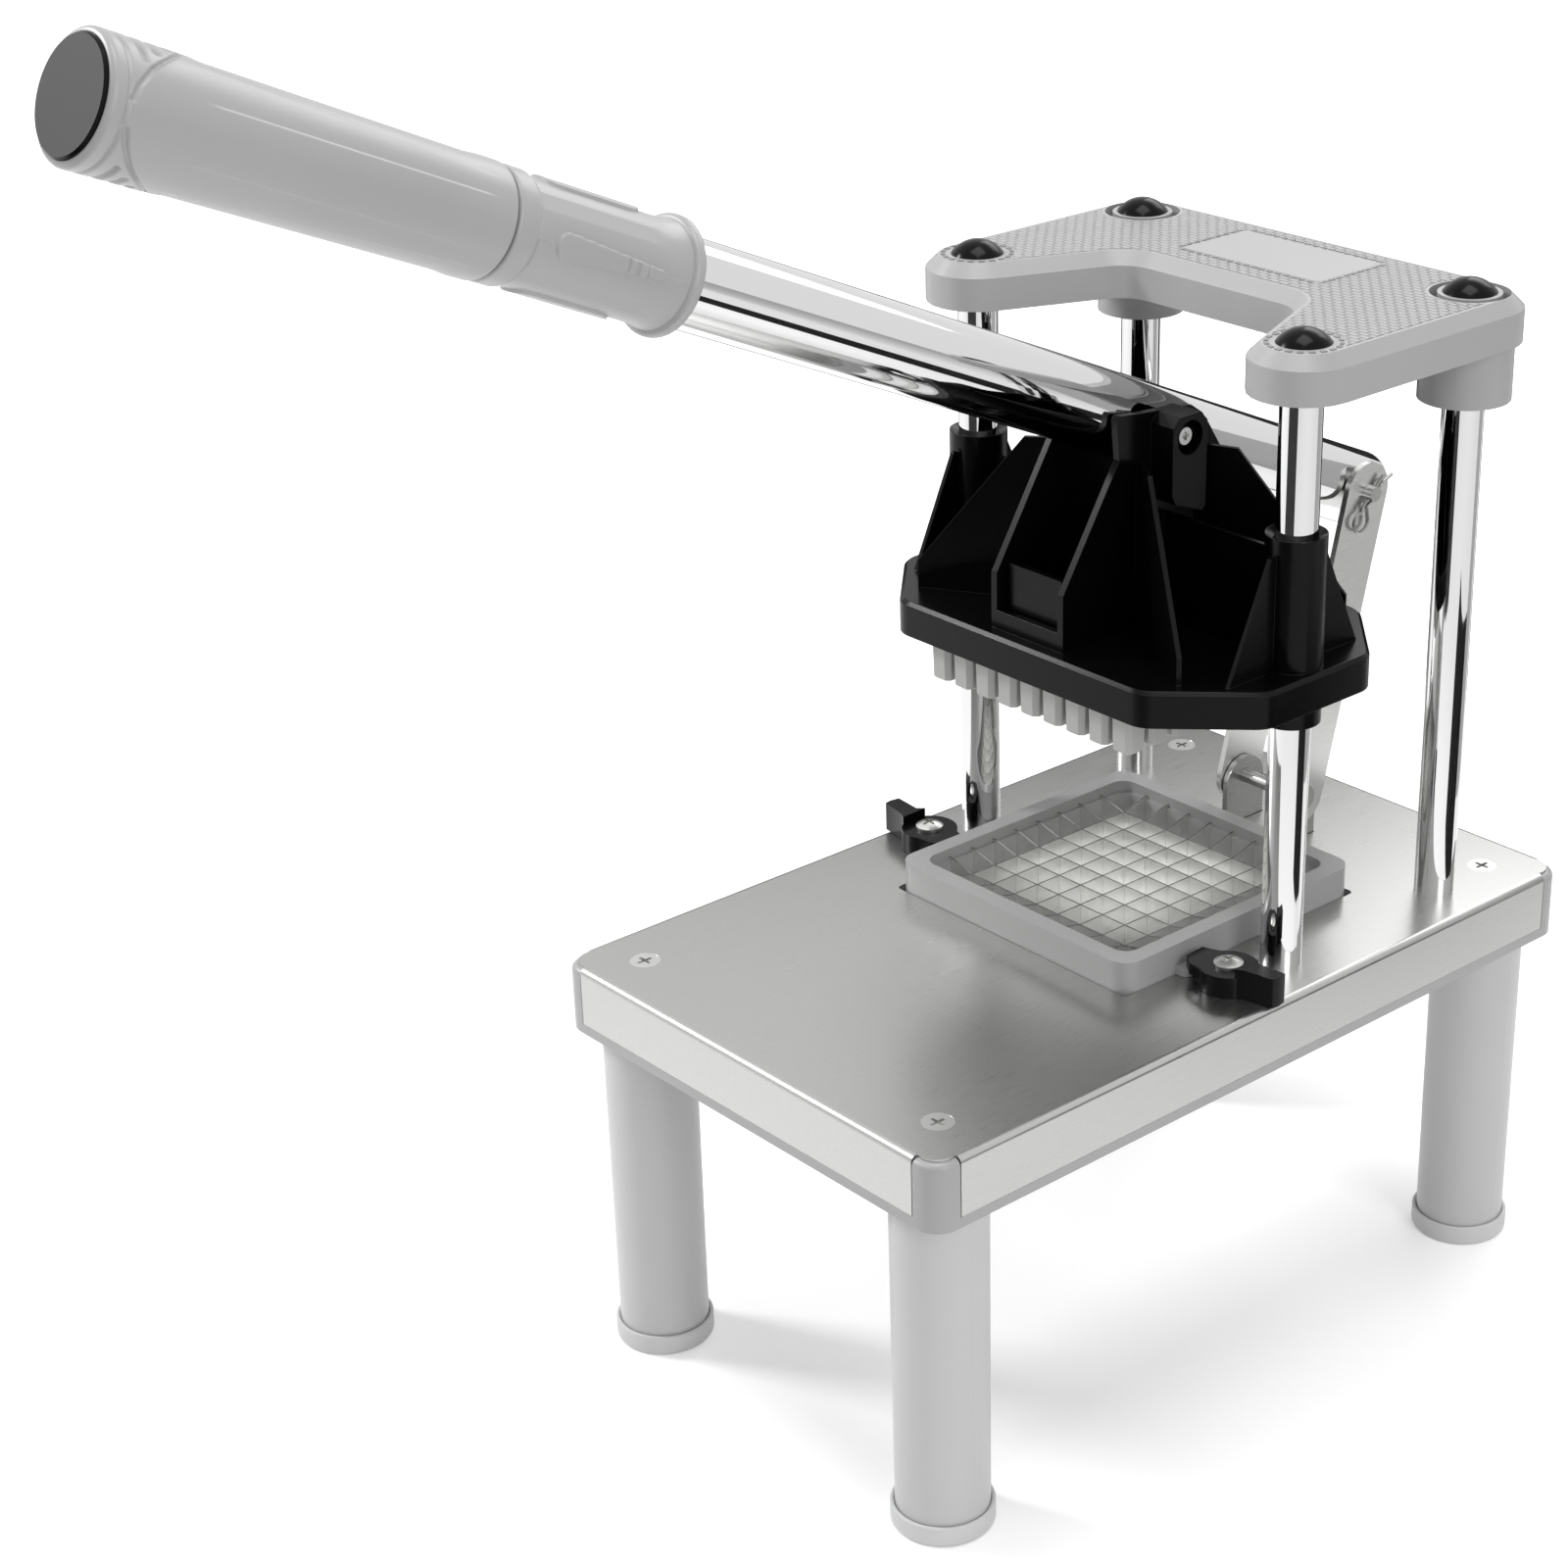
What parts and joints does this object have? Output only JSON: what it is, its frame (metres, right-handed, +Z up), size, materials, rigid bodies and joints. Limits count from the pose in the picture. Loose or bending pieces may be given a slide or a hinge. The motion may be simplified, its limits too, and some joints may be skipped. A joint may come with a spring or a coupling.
{
  "type": "french fry cutter",
  "caption": "Bench-top lever press with legs that pushes a potato down through a square grid of blades.",
  "frame": {"origin": "centre between the feet, on the surface that they stand on", "axes": "+Z up, -Y towards the front where the grip points, +X to the right seen from the front"},
  "size_m": [0.1776, 0.4602, 0.4638],
  "materials": {
    "stainless_sheet": "brushed along its length",
    "blade_steel": "ground and polished",
    "bright_fastener": "bright plated",
    "chromed_tube": "mirror plated",
    "grey_moulding": "semi-gloss moulded",
    "black_moulding": "gloss moulded",
    "pale_moulding": "satin moulded",
    "foot_rubber": "matt"
  },
  "bodies": {
    "base": {"cover_sheet": "stainless_sheet", "base_tray": "grey_moulding", "cartridge_frame": "grey_moulding", "blades_lengthwise": "blade_steel", "blades_crosswise": "blade_steel", "leg_front_left": "grey_moulding", "leg_front_right": "grey_moulding", "leg_rear_left": "grey_moulding", "leg_rear_right": "grey_moulding", "foot_front_left": "foot_rubber", "foot_front_right": "foot_rubber", "foot_rear_left": "foot_rubber", "foot_rear_right": "foot_rubber", "leg_screws": "bright_fastener", "pillar_front_left": "chromed_tube", "pillar_front_right": "chromed_tube", "pillar_rear_left": "chromed_tube", "pillar_rear_right": "chromed_tube", "pillar_nuts": "bright_fastener", "pillar_washers": "bright_fastener", "top_plate": "grey_moulding", "top_screws": "bright_fastener", "top_caps": "black_moulding", "clamp_screws": "bright_fastener", "clamp_nuts": "bright_fastener", "ear_bracket": "stainless_sheet", "bracket_screws": "bright_fastener", "base_axle": "bright_fastener", "axle_clips": "bright_fastener"},
    "links": {"link_left": "stainless_sheet", "link_right": "stainless_sheet", "clevis_pin": "bright_fastener", "spring_clip": "bright_fastener"},
    "lever": {"lever_tube": "chromed_tube", "tube_plug": "grey_moulding", "grip": "grey_moulding", "grip_collar": "grey_moulding", "grip_end_cap": "black_moulding"},
    "head": {"pusher_head": "black_moulding", "pusher_block": "pale_moulding", "pivot_sleeve_nut": "bright_fastener", "pivot_screw": "bright_fastener"},
    "clamp_left": {"clamp_left": "black_moulding"},
    "clamp_right": {"clamp_right": "black_moulding"}
  },
  "joints": [
    {"name": "lever_pivot", "type": "hinge", "parent": "links", "child": "lever", "pos_m": [0, 0.11832, 0.25533], "axis": [-1, 0, 0], "range_deg": [-47.9, 18.6]},
    {"name": "link_swing", "type": "hinge", "parent": "base", "child": "links", "pos_m": [0, 0.092, 0.1542], "axis": [-1, 0, 0], "range_deg": [-3.5, 8.7]},
    {"name": "head_slide", "type": "slide", "parent": "base", "child": "head", "axis": [0, 0, 1], "range_m": [-0.077, 0.03]},
    {"name": "clamp_turn_left", "type": "hinge", "parent": "base", "child": "clamp_left", "pos_m": [-0.0684, -0.0008, 0.138], "axis": [0, 0, 1], "range_deg": [0, 100]},
    {"name": "clamp_turn_right", "type": "hinge", "parent": "base", "child": "clamp_right", "pos_m": [0.0684, -0.0008, 0.138], "axis": [0, 0, 1], "range_deg": [-100, 0]}
  ],
  "couplings": [
    {"joint": "link_swing", "follows": "lever_pivot", "ratio": -0.18033},
    {"joint": "head_slide", "follows": "lever_pivot", "m_per_rad": 0.09205}
  ]
}
